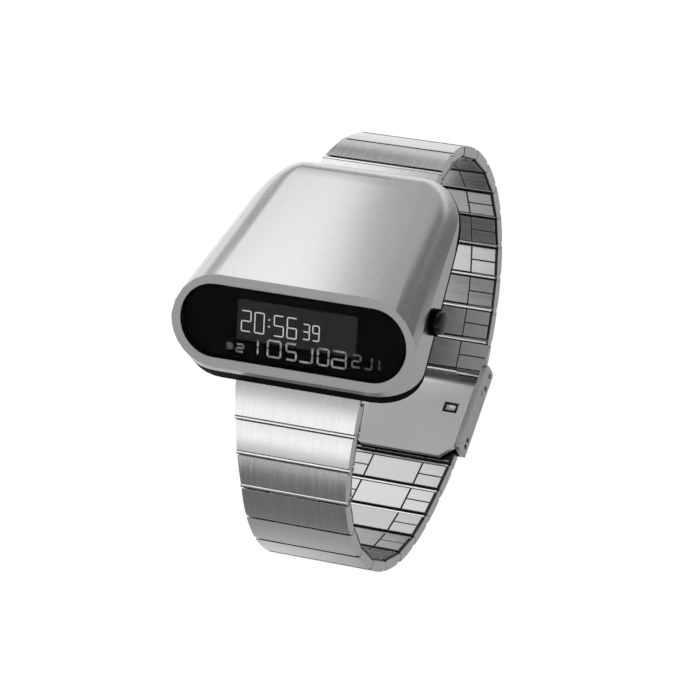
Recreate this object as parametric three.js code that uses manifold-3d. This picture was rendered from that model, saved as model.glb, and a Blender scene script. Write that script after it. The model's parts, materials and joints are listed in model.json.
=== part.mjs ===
// A digital wristwatch with a sloping display in one end of a domed steel case,
// a tapering bracelet of hinged steel links and a fold-over clasp.
// Millimetres and degrees, +Z up. The watch stands on its clasp, and the origin is
// on the clasp's flat foot. X points to three o'clock and Y to twelve.
import * as THREE from 'three';
import { mergeVertices } from 'three/addons/utils/BufferGeometryUtils.js';
import Module from 'manifold-3d';

const wasm = await Module();
wasm.setup();

// Display window and rim, measured in the sloping face
const windowHalfStraight = 12.72;
const windowRadius = 5.5;
const rimWidth = 1.45;
const faceSlope = 40;

// Where the display stands over the clasp's foot
const glassAboveFoot = 51.6;
const glassAheadOfFoot = 14.95;

// Steel shell, heights and lengths taken from the middle of the glass
const shellRear = 30.8;
const shellSideTaper = 6.85;
const shellTopSlope = 18;
const shellBottomDrop = 6.4;
const flankDraft = 6;
const frontRise = 9;
const shellRearCorner = 8;
const shellRearRound = 2.5;
const shellWall = 1.3;
const shellLedgeDepth = 2.4;

// Glass and what lies behind it, depths below the rim's face
const glassSink = 0.05;
const glassThickness = 1.1;
const maskThickness = 0.25;
const gasketThickness = 0.3;
const gasketWidth = 0.7;
const ledgeWidth = 0.8;
const displayHalfWidth = 9.7;
const displayLow = 2.5;
const displayHigh = 3.6;
const displayShift = 0.1;
const panelBorder = 0.8;
const panelThickness = 1.4;
const backlightThickness = 0.9;

// Black base under the shell
const baseThickness = 0.6;
const baseFrontFallAngle = 6.4;
const baseLipHeight = 1;
const baseLipWall = 1;
const hatchSideMargin = 8.67;
const hatchHalfLength = 9.5;
const hatchCentre = 12.5;

// Cover on the wrist side
const coverThickness = 1.1;
const coverBorder = 3;
const coverCorner = 4;
const plugHeight = 0.5;
const screwHeadRadius = 0.95;
const screwHeadHeight = 0.5;
const screwShankRadius = 0.45;
const screwLength = 1.55;
const screwInset = 1.5;

// Movement
const batteryRadius = 8;
const batteryThickness = 1.6;
const frameHalfWidth = 11;
const frameFront = 3.4;
const frameRear = 23.2;
const frameHeight = 1.9;
const boardThickness = 0.7;
const boardHalfWidth = 12;
const boardFront = 3.2;
const boardRear = 22;
const clipThickness = 0.25;
const clipWidth = 4;
const connectorLength = 16;
const connectorWidth = 1.2;
const connectorHeight = 1;
const chipHalfWidth = 3;
const chipHeight = 0.6;

// Side button, its place taken from the middle of the glass
const buttonAlong = 7.2;
const buttonDrop = 4.1;
const buttonRadius = 1.75;
const buttonHeight = 0.85;
const buttonTravel = 0.5;
const stemRadius = 0.6;
const collarRadius = 2;
const collarHeight = 0.9;
const collarSink = 0.5;
const collarFloor = 0.2;
const tubeRadius = 1.1;
const tubeLength = 2.4;
const retainerRadius = 1;
const retainerThickness = 0.3;
const springInner = 0.9;
const springOuter = 1.4;
const springWire = 0.08;
const springRoom = 0.3;
const springTurns = 2;

// Bracelet links
const linkPitch = 5.15;
const linkWidthAtCase = 20.2;
const linkWidth = 17;
const taperedLinks = 3;
const linkTop = 1;
const linkCrown = 0.12;
const linkInner = 0.95;
const linkInnerFacet = 0.12;
const linkEdgeGap = 0.3;
const linkInnerGap = 0.4;
const firstLinkCover = 0.3;
const knuckleRadius = 0.7;
const tongueWidth = 8.2;
const linkPinRadius = 0.36;
const frontLinks = 13;
const rearLinks = 12;

// Lugs and the bracelet's run, angles of the first links from level
const frontLugDrop = 8.9;
const rearLugDrop = 8.6;
const frontLugAhead = 4.9;
const rearLugBehind = 28.4;
const lugEarInset = 0.85;
const lugWebLength = 1.6;
const lugWebSetback = 0.5;
const frontStartAngle = 213.3;
const frontFirstBend = 2.5;
const frontTurnGuess = 133;
const rearStartAngle = -10.7;
const rearFirstBend = -18.5;
const rearTurnGuess = -152;

// Clasp, heights above the foot and places along Y from its middle
const claspFront = 7.9;
const claspRear = 6.9;
const claspFloor = 0.7;
const claspWall = 0.7;
const claspHeight = 4.4;
const claspBend = 1;
const claspTopCorner = 0.9;
const claspFrontCorner = 1.2;
const claspRearCorner = 1.8;
const claspSideGap = 0.4;
const claspPinHeight = 2;
const claspFrontPin = -5.4;
const claspRearPin = 5.9;
const adjustHoleSpacing = 2.2;
const adjustHoleRadius = 0.45;
const claspPlateLift = 0.3;
const claspPlateThickness = 0.8;
const claspPlateFront = 9.6;
const claspPlateHinge = 2.4;
const claspPlateChamfer = 2;
const claspPlateGap = 0.2;
const claspHingeRadius = 1.3;
const claspHingePinRadius = 0.4;
const claspWindowWidth = 2.4;
const claspWindowLength = 1.7;
const claspWindowSide = 6;
const claspWindowAlong = -1.3;
const catchGap = 0.4;
const catchStrip = 0.5;
const seatLipDepth = 1.4;
const seatLipThickness = 0.6;

// Clearances
const fitGap = 0.05;
const pinGap = 0.1;
const knuckleGap = 0.12;
const tongueGap = 0.15;
const runGap = 0.3;
const overrun = 1;

// Facets
const roundSteps = 8;
const filletSteps = 5;
const biteSteps = 4;
const knuckleSteps = 7;
const crownSteps = 4;
const smallRound = 8;
const largeRound = 32;
const springSteps = 10;
const springSides = 5;

const degrees = THREE.MathUtils.degToRad;
const satinSteel = new THREE.MeshStandardMaterial({ color: 0xb9babc, roughness: 0.34, metalness: 1 });
const brushedSteel = new THREE.MeshStandardMaterial({ color: 0xa9aaac, roughness: 0.4, metalness: 1 });
const springSteel = new THREE.MeshStandardMaterial({ color: 0x8f9092, roughness: 0.3, metalness: 1 });
const blackMetal = new THREE.MeshStandardMaterial({ color: 0x0b0b0c, roughness: 0.45, metalness: 0.4 });
const blackPolish = new THREE.MeshStandardMaterial({ color: 0x08080a, roughness: 0.15, metalness: 0.5 });
const blackMask = new THREE.MeshStandardMaterial({ color: 0x020203, roughness: 0.2, metalness: 0 });
const rubber = new THREE.MeshStandardMaterial({ color: 0x111112, roughness: 0.8, metalness: 0 });
const clearGlass = new THREE.MeshStandardMaterial({ color: 0x101114, roughness: 0.05, metalness: 0 });
const displayGrey = new THREE.MeshStandardMaterial({ color: 0x2b2c2e, roughness: 0.3, metalness: 0 });
const whitePlastic = new THREE.MeshStandardMaterial({ color: 0xd8d9d6, roughness: 0.5, metalness: 0 });
const greenBoard = new THREE.MeshStandardMaterial({ color: 0x1f4a33, roughness: 0.6, metalness: 0 });
const nickel = new THREE.MeshStandardMaterial({ color: 0xc5c6c3, roughness: 0.25, metalness: 1 });

// Values that follow from the driving dimensions
const rimRadius = windowRadius + rimWidth;
const shellHalfWidth = windowHalfStraight + rimRadius;
const faceCos = Math.cos(degrees(faceSlope));
const faceSin = Math.sin(degrees(faceSlope));
const topFall = Math.tan(degrees(shellTopSlope));
const topOverGlass = rimRadius * (faceSin + faceCos * topFall);
const taperPerLength = Math.tan(degrees(shellSideTaper)) / shellHalfWidth;
const draftPerDepth = Math.tan(degrees(flankDraft));
const hatchHalfWidth = shellHalfWidth - hatchSideMargin;
const baseTop = -shellBottomDrop - fitGap;
const baseBottom = baseTop - baseThickness;
const biteRadius = knuckleRadius + knuckleGap;
const lugHalfWidth = linkWidthAtCase / 2 - lugEarInset;

// Closed mesh to solid and back
function solidOf(geometry) {
  const bare = geometry.clone();
  bare.deleteAttribute('normal');
  bare.deleteAttribute('uv');
  const merged = mergeVertices(bare);
  const mesh = new wasm.Mesh({
    numProp: 3,
    vertProperties: new Float32Array(merged.attributes.position.array),
    triVerts: new Uint32Array(merged.index.array),
  });
  return new wasm.Manifold(mesh);
}

function geometryOf(solid) {
  const mesh = solid.getMesh();
  const geometry = new THREE.BufferGeometry();
  geometry.setAttribute('position', new THREE.BufferAttribute(new Float32Array(mesh.vertProperties), 3));
  geometry.setIndex(new THREE.BufferAttribute(new Uint32Array(mesh.triVerts), 1));
  const flat = geometry.toNonIndexed();
  flat.computeVertexNormals();
  return flat;
}

function joined(solids) {
  return solids.reduce((whole, piece) => whole.add(piece));
}

// A flat outline stood on the XY plane, from one height to another
function raised(shape, low, high, steps = roundSteps) {
  const geometry = new THREE.ExtrudeGeometry(shape, { depth: high - low, bevelEnabled: false, curveSegments: steps });
  geometry.translate(0, 0, low);
  return geometry;
}

// An outline drawn in Y and Z, drawn out along X
function across(points, left, right) {
  const shape = new THREE.Shape(points.map(([y, z]) => new THREE.Vector2(y, z)));
  const geometry = new THREE.ExtrudeGeometry(shape, { depth: right - left, bevelEnabled: false });
  geometry.translate(0, 0, left);
  const turn = new THREE.Matrix4().makeBasis(
    new THREE.Vector3(0, 1, 0),
    new THREE.Vector3(0, 0, 1),
    new THREE.Vector3(1, 0, 0),
  );
  return geometry.applyMatrix4(turn);
}

function rodAlongX(radius, left, right, y, z, sides = smallRound) {
  const geometry = new THREE.CylinderGeometry(radius, radius, right - left, sides);
  geometry.rotateZ(-Math.PI / 2);
  geometry.translate((left + right) / 2, y, z);
  return geometry;
}

function rodAlongZ(radius, low, high, x, y, sides = smallRound) {
  const geometry = new THREE.CylinderGeometry(radius, radius, high - low, sides);
  geometry.rotateX(Math.PI / 2);
  geometry.translate(x, y, (low + high) / 2);
  return geometry;
}

function block(lowCorner, highCorner) {
  const size = highCorner.map((value, i) => value - lowCorner[i]);
  const geometry = new THREE.BoxGeometry(size[0], size[1], size[2]);
  geometry.translate(lowCorner[0] + size[0] / 2, lowCorner[1] + size[1] / 2, lowCorner[2] + size[2] / 2);
  return geometry;
}

// A shape with straight long sides and round ends
function stadium(halfStraight, radius) {
  const shape = new THREE.Shape();
  shape.moveTo(-halfStraight, -radius);
  shape.lineTo(halfStraight, -radius);
  shape.absarc(halfStraight, 0, radius, -Math.PI / 2, Math.PI / 2, false);
  shape.lineTo(-halfStraight, radius);
  shape.absarc(-halfStraight, 0, radius, Math.PI / 2, (3 * Math.PI) / 2, false);
  return shape;
}

function roundedRectangle(halfWidth, back, front, corner) {
  const shape = new THREE.Shape();
  shape.moveTo(-halfWidth + corner, back);
  shape.lineTo(halfWidth - corner, back);
  shape.absarc(halfWidth - corner, back + corner, corner, -Math.PI / 2, 0, false);
  shape.absarc(halfWidth - corner, front - corner, corner, 0, Math.PI / 2, false);
  shape.absarc(-halfWidth + corner, front - corner, corner, Math.PI / 2, Math.PI, false);
  shape.absarc(-halfWidth + corner, back + corner, corner, Math.PI, (3 * Math.PI) / 2, false);
  return shape;
}

// From the sloping face's own frame to the case's: y runs up the face, z out of it
function onFace(geometry) {
  return geometry.applyMatrix4(new THREE.Matrix4().makeRotationX(degrees(faceSlope)));
}

// One ring of the case's plan outline, drawn in on the sides and at the rear.
// The front is the rim's outline dropped straight down. The last value of a
// point is how far it has turned from the side to the rear, for the fillets.
function planRing(inset, sideRound, rearRound) {
  const half = shellHalfWidth - inset - sideRound;
  const rear = shellRear - inset - rearRound;
  const frontReach = rimRadius * faceCos - inset;
  const frontRound = rimRadius - inset;
  const rearAcross = Math.max(shellRearCorner - inset - sideRound, overrun);
  const rearAlong = Math.max(shellRearCorner - inset - rearRound, overrun);
  const right = [];
  for (let i = 0; i <= roundSteps; i += 1) {
    const angle = (Math.PI / 2) * (i / roundSteps);
    const x = half - frontRound * (1 - Math.sin(angle));
    right.push([x, -frontReach * Math.cos(angle), 0]);
  }
  for (let i = 0; i <= roundSteps; i += 1) {
    const angle = (Math.PI / 2) * (i / roundSteps);
    const x = half - rearAcross * (1 - Math.cos(angle));
    const y = rear - rearAlong * (1 - Math.sin(angle));
    right.push([x, y, Math.sin(angle) ** 2]);
  }
  const left = right.map(([x, y, turned]) => [-x, y, turned]).reverse();
  return [...right, ...left].map(([x, y, turned]) => [x * (1 - taperPerLength * y), y, turned]);
}

// The domed outer form of the case, or with an inset the space inside it
function domedForm(inset, low) {
  const sideRound = rimRadius - inset;
  const rearRound = shellRearRound;
  const topDrop = inset / Math.cos(degrees(shellTopSlope));
  const positions = [];
  const rings = [];
  const addRing = (points, heightAt) => {
    rings.push(points.map(([x, y, turned]) => {
      positions.push(x, y, heightAt(y, turned));
      return positions.length / 3 - 1;
    }));
  };
  const drafted = planRing(inset, 0, 0).map(([x, y, turned]) => {
    const depth = -low - topFall * y;
    return [x - Math.sign(x) * draftPerDepth * depth, y, turned];
  });
  addRing(drafted, () => low);
  for (let k = 0; k <= filletSteps; k += 1) {
    const angle = (Math.PI / 2) * (k / filletSteps);
    const across = 1 - Math.cos(angle);
    const under = 1 - Math.sin(angle);
    const points = planRing(inset, sideRound * across, rearRound * across);
    addRing(points, (y, turned) => {
      const fall = topOverGlass - inset + (rearRound - topOverGlass + inset) * turned;
      return topOverGlass - topDrop - topFall * y - fall * under;
    });
  }
  return closedRings(positions, rings);
}

// Skin through rings of points, closed by a fan at each end
function closedRings(positions, rings) {
  const faces = [];
  for (let k = 0; k + 1 < rings.length; k += 1) {
    const lower = rings[k];
    const upper = rings[k + 1];
    lower.forEach((corner, i) => {
      const next = (i + 1) % lower.length;
      faces.push(corner, lower[next], upper[next], corner, upper[next], upper[i]);
    });
  }
  const last = rings[rings.length - 1];
  for (let i = 1; i + 1 < last.length; i += 1) {
    faces.push(last[0], last[i], last[i + 1]);
    faces.push(rings[0][0], rings[0][i + 1], rings[0][i]);
  }
  const geometry = new THREE.BufferGeometry();
  geometry.setAttribute('position', new THREE.BufferAttribute(new Float32Array(positions), 3));
  geometry.setIndex(faces);
  return geometry;
}

// A block in the face's frame that takes in all of the case beyond a plane
function faceBlock(lowUp, highUp, lowOut, highOut) {
  const wide = shellHalfWidth + overrun;
  return solidOf(onFace(block([-wide, lowUp, lowOut], [wide, highUp, highOut])));
}

// Depths of the pieces behind the rim's face
const maskTop = -(glassSink + glassThickness + fitGap);
const gasketTop = maskTop - maskThickness - fitGap;
const ledgeTop = gasketTop - gasketThickness - fitGap;
const panelTop = gasketTop - fitGap;
const backlightTop = panelTop - panelThickness - fitGap;
const caseReach = shellRear + shellHalfWidth;

// Button places along X
const flankAtButton = shellHalfWidth * (1 - taperPerLength * buttonAlong)
  - draftPerDepth * (buttonDrop - topFall * buttonAlong);
const collarSeat = flankAtButton - collarSink + fitGap;
const collarTop = flankAtButton + collarHeight;
const buttonTop = collarTop + buttonHeight;
const tubeEnd = collarSeat - tubeLength;
const buttonBottom = collarSeat + collarFloor + springRoom + buttonTravel;

// All that is below the seam between shell and base, which rises towards the front
function underside(height) {
  const far = caseReach * 2;
  const level = block([-far, -far, -far], [far, far, height]);
  const rising = block([-far, -far, -far], [far, 0, 0]);
  rising.rotateX(-degrees(frontRise));
  rising.translate(0, 0, height);
  return solidOf(level).add(solidOf(rising));
}

function shellSolid() {
  const outside = solidOf(domedForm(0, -caseReach));
  const inside = solidOf(domedForm(shellWall, -caseReach - overrun));
  const behindLedge = inside.subtract(faceBlock(-caseReach, caseReach, -shellLedgeDepth, caseReach));
  const window = solidOf(onFace(raised(stadium(windowHalfStraight, windowRadius), ledgeTop, overrun)));
  const throughHole = stadium(windowHalfStraight, windowRadius - ledgeWidth);
  const through = solidOf(onFace(raised(throughHole, -shellLedgeDepth - overrun, overrun)));
  const aheadOfFace = faceBlock(-caseReach, caseReach, 0, caseReach);
  const belowShell = underside(-shellBottomDrop);
  const sides = roundSteps * 2;
  const tubeHole = solidOf(rodAlongX(tubeRadius + pinGap, tubeEnd, collarTop, buttonAlong, -buttonDrop, sides));
  const seatFrom = flankAtButton - collarSink;
  const seat = solidOf(rodAlongX(collarRadius + fitGap, seatFrom, collarTop, buttonAlong, -buttonDrop, sides));
  return outside.subtract(behindLedge).subtract(window).subtract(through).subtract(aheadOfFace)
    .subtract(belowShell).subtract(tubeHole).subtract(seat);
}

function glassGeometry() {
  const outline = stadium(windowHalfStraight, windowRadius - fitGap);
  return raised(outline, -glassSink - glassThickness, -glassSink);
}

function maskGeometry() {
  const outline = stadium(windowHalfStraight, windowRadius - fitGap);
  const opening = new THREE.Path();
  opening.moveTo(displayShift - displayHalfWidth, -displayLow);
  opening.lineTo(displayShift - displayHalfWidth, displayHigh);
  opening.lineTo(displayShift + displayHalfWidth, displayHigh);
  opening.lineTo(displayShift + displayHalfWidth, -displayLow);
  opening.closePath();
  outline.holes.push(opening);
  return raised(outline, maskTop - maskThickness, maskTop);
}

function gasketGeometry() {
  const outline = stadium(windowHalfStraight, windowRadius - fitGap);
  outline.holes.push(stadium(windowHalfStraight, windowRadius - gasketWidth));
  return raised(outline, gasketTop - gasketThickness, gasketTop);
}

function panelGeometry() {
  const half = displayHalfWidth + panelBorder;
  const low = -displayLow - panelBorder;
  const high = displayHigh + panelBorder;
  return block(
    [displayShift - half, low, panelTop - panelThickness],
    [displayShift + half, high, panelTop],
  );
}

function backlightGeometry() {
  const half = displayHalfWidth + panelBorder;
  const low = -displayLow - panelBorder;
  const high = displayHigh + panelBorder / 2;
  return block(
    [displayShift - half, low, backlightTop - backlightThickness],
    [displayShift + half, high, backlightTop],
  );
}

// Places of the four cover screws
function screwPlaces() {
  const x = hatchHalfWidth + screwInset;
  const y = hatchHalfLength + screwInset;
  return [[-x, -y], [x, -y], [x, y], [-x, y]].map(([across, along]) => [across, hatchCentre + along]);
}

// Two ears with the bracelet's first tongue between them
function lugEars([y, z], inward) {
  const top = baseBottom + baseThickness / 2;
  const outer = lugHalfWidth;
  const inner = tongueWidth / 2 + tongueGap;
  const ear = [];
  for (let i = 0; i <= knuckleSteps; i += 1) {
    const angle = Math.PI + Math.PI * (i / knuckleSteps);
    ear.push([y + knuckleRadius * Math.cos(angle), z + knuckleRadius * Math.sin(angle)]);
  }
  const web = inward * lugWebLength;
  const low = [y + web, z];
  const high = [y + web, top];
  const near = [y + inward * lugWebSetback, top];
  const nearLow = [y + inward * lugWebSetback, z + Math.sqrt(knuckleRadius ** 2 - lugWebSetback ** 2)];
  const outline = inward > 0
    ? [...ear, low, high, near, nearLow, ...crownArc(y, z, 1)]
    : [...crownArc(y, z, -1), nearLow, near, high, low, ...ear];
  const left = solidOf(across(outline, -outer, -inner));
  const right = solidOf(across(outline, inner, outer));
  return left.add(right);
}

// The top of an ear's barrel, from its web round to the bracelet's side
function crownArc(y, z, side) {
  const points = [];
  const sweep = Math.PI - Math.acos(lugWebSetback / knuckleRadius);
  for (let i = 1; i < roundSteps; i += 1) {
    const share = i / roundSteps;
    const angle = side > 0 ? Math.PI - sweep * (1 - share) : sweep * share;
    points.push([y + knuckleRadius * Math.cos(angle), z + knuckleRadius * Math.sin(angle)]);
  }
  return points;
}

// What the base gains below its flat underside, which falls towards the front
function frontFall() {
  const wide = caseReach * 2;
  const wedge = block([-wide, -wide, 0], [wide, 0, wide]);
  wedge.rotateX(degrees(baseFrontFallAngle));
  wedge.translate(0, 0, baseBottom);
  return solidOf(wedge);
}

function baseSolid() {
  const wide = caseReach * 2;
  const form = solidOf(domedForm(0, -wide));
  const slab = (low, high) => solidOf(block([-wide, -wide, low], [wide, wide, high]));
  const aheadOfFace = faceBlock(-caseReach, caseReach, 0, caseReach);
  const floor = slab(baseBottom, caseReach).add(frontFall());
  const plate = form.intersect(underside(baseTop)).intersect(floor).subtract(aheadOfFace);
  const lipForm = solidOf(domedForm(shellWall + fitGap, -wide));
  const lipSpace = solidOf(domedForm(shellWall + fitGap + baseLipWall, -wide - overrun));
  const frontClear = faceBlock(-caseReach, caseReach, -shellLedgeDepth - runGap - panelThickness, caseReach);
  const lip = lipForm.intersect(slab(baseTop - baseThickness / 2, baseTop + baseLipHeight))
    .subtract(lipSpace).subtract(frontClear);
  const hatch = solidOf(block(
    [-hatchHalfWidth, hatchCentre - hatchHalfLength, baseBottom - overrun],
    [hatchHalfWidth, hatchCentre + hatchHalfLength, baseTop + overrun],
  ));
  const holes = screwPlaces().map(([x, y]) => solidOf(
    rodAlongZ(screwShankRadius + fitGap, baseBottom - overrun, baseTop + overrun, x, y),
  ));
  const lugs = [[-frontLugAhead, -frontLugDrop], [rearLugBehind, -rearLugDrop]];
  const ears = lugEars(lugs[0], 1).add(lugEars(lugs[1], -1));
  const barReach = linkWidthAtCase / 2;
  const barHoles = lugs.map(([y, z]) => solidOf(
    rodAlongX(linkPinRadius + pinGap, -barReach, barReach, y, z),
  ));
  return joined([plate, lip, ears]).subtract(joined([hatch, ...holes, ...barHoles]));
}

function coverSolid() {
  const top = baseBottom - fitGap;
  const halfWidth = hatchHalfWidth + coverBorder;
  const outline = roundedRectangle(
    halfWidth,
    hatchCentre - hatchHalfLength - coverBorder,
    hatchCentre + hatchHalfLength + coverBorder,
    coverCorner,
  );
  const plate = solidOf(raised(outline, top - coverThickness, top));
  const plug = solidOf(block(
    [-hatchHalfWidth + fitGap, hatchCentre - hatchHalfLength + fitGap, top - coverThickness / 2],
    [hatchHalfWidth - fitGap, hatchCentre + hatchHalfLength - fitGap, top + plugHeight],
  ));
  const low = top - coverThickness;
  const holes = screwPlaces().flatMap(([x, y]) => [
    solidOf(rodAlongZ(screwShankRadius + fitGap, low - overrun, top + overrun, x, y)),
    solidOf(rodAlongZ(screwHeadRadius + fitGap, low - overrun, low + screwHeadHeight, x, y)),
  ]);
  return plate.add(plug).subtract(joined(holes));
}

function screwSolid(x, y) {
  const low = baseBottom - fitGap - coverThickness;
  const head = solidOf(rodAlongZ(screwHeadRadius, low, low + screwHeadHeight - fitGap, x, y));
  const shank = solidOf(rodAlongZ(screwShankRadius, low + screwHeadHeight / 2, low + screwLength, x, y));
  const slot = solidOf(block(
    [x - screwHeadRadius, y - screwShankRadius / 3, low - overrun],
    [x + screwHeadRadius, y + screwShankRadius / 3, low + screwHeadHeight / 2],
  ));
  return head.add(shank).subtract(slot);
}

// Heights inside the case
const coverTop = baseBottom - fitGap + plugHeight;
const frameLow = baseTop + fitGap;
const batteryLow = coverTop + fitGap;
const batteryTop = batteryLow + batteryThickness;
const clipLow = batteryTop + fitGap;
const boardLow = frameLow + frameHeight + runGap;
const boardTop = boardLow + boardThickness;

function frameSolid() {
  const body = solidOf(roundedBlock(frameHalfWidth, frameFront, frameRear, frameLow, frameLow + frameHeight));
  const well = solidOf(rodAlongZ(batteryRadius + pinGap, frameLow - overrun, frameLow + frameHeight + overrun,
    0, hatchCentre, largeRound));
  return body.subtract(well);
}

function roundedBlock(halfWidth, front, rear, low, high) {
  return raised(roundedRectangle(halfWidth, front, rear, coverCorner / 2), low, high, roundSteps / 2);
}

function batterySolid() {
  const rimStep = batteryThickness / 4;
  const can = solidOf(rodAlongZ(batteryRadius, batteryLow + rimStep, batteryTop, 0, hatchCentre, largeRound));
  const lid = solidOf(rodAlongZ(batteryRadius - rimStep * 2, batteryLow, batteryLow + rimStep * 2, 0, hatchCentre, largeRound));
  return can.add(lid);
}

// A spring strip over the battery, with a foot on the frame at each end
function clipSolid() {
  const reach = batteryRadius + clipWidth / 4;
  const high = boardLow - fitGap;
  const low = high - clipThickness;
  const strip = solidOf(block([-clipWidth / 2, hatchCentre - reach, low], [clipWidth / 2, hatchCentre + reach, high]));
  const feet = [-1, 1].map((side) => {
    const end = hatchCentre + side * reach;
    const back = end - side * clipThickness * 2;
    const foot = [Math.min(end, back), Math.max(end, back)];
    const footLow = frameLow + frameHeight + fitGap;
    return solidOf(block([-clipWidth / 2, foot[0], footLow], [clipWidth / 2, foot[1], high]));
  });
  const dimple = solidOf(rodAlongZ(clipWidth / 4, clipLow, high, 0, hatchCentre));
  return joined([strip, dimple, ...feet]);
}

function boardSolid() {
  return solidOf(roundedBlock(boardHalfWidth, boardFront, boardRear, boardLow, boardTop));
}

function connectorGeometry() {
  const front = boardFront + connectorWidth;
  return block(
    [-connectorLength / 2, front, boardTop + fitGap],
    [connectorLength / 2, front + connectorWidth, boardTop + fitGap + connectorHeight],
  );
}

function chipGeometry() {
  return block(
    [-chipHalfWidth, hatchCentre - chipHalfWidth, boardTop + fitGap],
    [chipHalfWidth, hatchCentre + chipHalfWidth, boardTop + fitGap + chipHeight],
  );
}

function collarSolid() {
  const sides = roundSteps * 2;
  const cup = solidOf(rodAlongX(collarRadius, collarSeat, collarTop, 0, 0, sides));
  const tube = solidOf(rodAlongX(tubeRadius, tubeEnd, collarTop - collarHeight / 2, 0, 0, sides));
  const recess = solidOf(rodAlongX(buttonRadius + pinGap, collarSeat + collarFloor, collarTop + overrun, 0, 0, sides));
  const bore = solidOf(rodAlongX(stemRadius + pinGap, tubeEnd - overrun, collarTop, 0, 0, sides));
  return cup.add(tube).subtract(recess).subtract(bore);
}

// A turned button: domed head, skirt that runs in the collar and a stem
function buttonGeometry() {
  const stemEnd = tubeEnd - retainerThickness - fitGap - overrun / 4;
  const crown = buttonHeight / 4;
  const profile = [
    [0, stemEnd],
    [stemRadius, stemEnd],
    [stemRadius, buttonBottom],
    [buttonRadius, buttonBottom],
    [buttonRadius, buttonTop - crown],
    [buttonRadius - crown / 3, buttonTop - crown / 3],
    [buttonRadius - crown, buttonTop],
    [0, buttonTop + crown / 4],
  ];
  const geometry = new THREE.LatheGeometry(profile.map(([r, x]) => new THREE.Vector2(r, x)), roundSteps * 2);
  return geometry.rotateZ(-Math.PI / 2);
}

// Snap ring on the stem's inner end
function retainerSolid() {
  const end = tubeEnd - fitGap;
  const disc = solidOf(rodAlongX(retainerRadius, end - retainerThickness, end, 0, 0, roundSteps * 2));
  const bore = solidOf(rodAlongX(stemRadius + fitGap, end - retainerThickness - overrun, end + overrun, 0, 0, roundSteps * 2));
  const slot = solidOf(block(
    [end - retainerThickness - overrun, 0, -stemRadius],
    [end + overrun, retainerRadius + overrun, stemRadius],
  ));
  return disc.subtract(bore).subtract(slot);
}

// A flat widening coil round the stem, drawn as it lies when the button is pressed
function springGeometry() {
  const rise = springRoom - springWire * 2 - fitGap * 2;
  const start = collarSeat + collarFloor + fitGap + springWire;
  const steps = springTurns * springSteps;
  const positions = [];
  const rings = [];
  for (let i = 0; i <= steps; i += 1) {
    const turn = (2 * Math.PI * i) / springSteps;
    const outward = new THREE.Vector3(0, Math.cos(turn), Math.sin(turn));
    const radius = springInner + ((springOuter - springInner) * i) / steps;
    const centre = new THREE.Vector3(start + (rise * i) / steps, 0, 0).addScaledVector(outward, radius);
    const ring = [];
    for (let j = 0; j < springSides; j += 1) {
      const angle = (2 * Math.PI * j) / springSides;
      const point = centre.clone().addScaledVector(outward, springWire * Math.cos(angle));
      point.x -= springWire * Math.sin(angle);
      positions.push(point.x, point.y, point.z);
      ring.push(positions.length / 3 - 1);
    }
    rings.push(ring);
  }
  return closedRings(positions, rings);
}

// Outline of a link's plate from the side, hollowed round the pins at both ends.
// Its outer face starts at startEdge, measured from the pin it hangs on.
function platePoints(startEdge) {
  const points = [];
  const middle = linkPitch / 2;
  const endEdge = linkPitch - linkEdgeGap;
  const fromBottom = -Math.acos(linkInnerGap / biteRadius);
  const startTop = Math.acos(startEdge / biteRadius);
  const endTop = Math.acos(linkEdgeGap / biteRadius);
  for (let i = 0; i <= crownSteps; i += 1) {
    const share = 1 - (2 * i) / crownSteps;
    const along = (endEdge + startEdge) / 2 + ((endEdge - startEdge) / 2) * share;
    points.push([along, linkTop - linkCrown * share ** 2]);
  }
  for (let i = 0; i <= biteSteps; i += 1) {
    const angle = startTop + ((fromBottom - startTop) * i) / biteSteps;
    points.push([biteRadius * Math.cos(angle), biteRadius * Math.sin(angle)]);
  }
  points.push([linkInnerGap, -linkInner + linkInnerFacet]);
  points.push([middle, -linkInner]);
  points.push([linkPitch - linkInnerGap, -linkInner + linkInnerFacet]);
  for (let i = biteSteps; i >= 0; i -= 1) {
    const angle = endTop + ((fromBottom - endTop) * i) / biteSteps;
    points.push([linkPitch - biteRadius * Math.cos(angle), biteRadius * Math.sin(angle)]);
  }
  return points;
}

// A barrel at the origin with a web that reaches along the link
function knucklePoints() {
  const start = Math.PI / 3;
  const sweep = 2 * Math.PI - 2 * start;
  const high = knuckleRadius * Math.sin(start);
  const web = biteRadius + linkTop / 2;
  const points = [[web, high]];
  for (let i = 0; i <= knuckleSteps; i += 1) {
    const angle = start + (sweep * i) / knuckleSteps;
    points.push([knuckleRadius * Math.cos(angle), knuckleRadius * Math.sin(angle)]);
  }
  points.push([web, -high]);
  return points;
}

// A link lies along +Y from its own pin hole to the pin that carries the next link
function linkSolid(startWidth, endWidth, pinReach, startEdge) {
  const half = Math.max(startWidth, endWidth) / 2;
  const tongueHalf = tongueWidth / 2;
  const earInner = tongueHalf + tongueGap;
  const plate = solidOf(across(platePoints(startEdge), -half, half));
  const tongue = solidOf(across(knucklePoints(), -tongueHalf, tongueHalf));
  const mirrored = knucklePoints().map(([y, z]) => [linkPitch - y, z]).reverse();
  const ears = [[-half, -earInner], [earInner, half]].map(([a, b]) => solidOf(across(mirrored, a, b)));
  const pin = solidOf(rodAlongX(linkPinRadius, -pinReach, pinReach, linkPitch, 0));
  const bore = solidOf(rodAlongX(linkPinRadius + pinGap, -half - overrun, half + overrun, 0, 0));
  const body = joined([plate, tongue, ...ears]).subtract(bore);
  return narrowed(body, startWidth, endWidth).add(pin);
}

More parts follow.
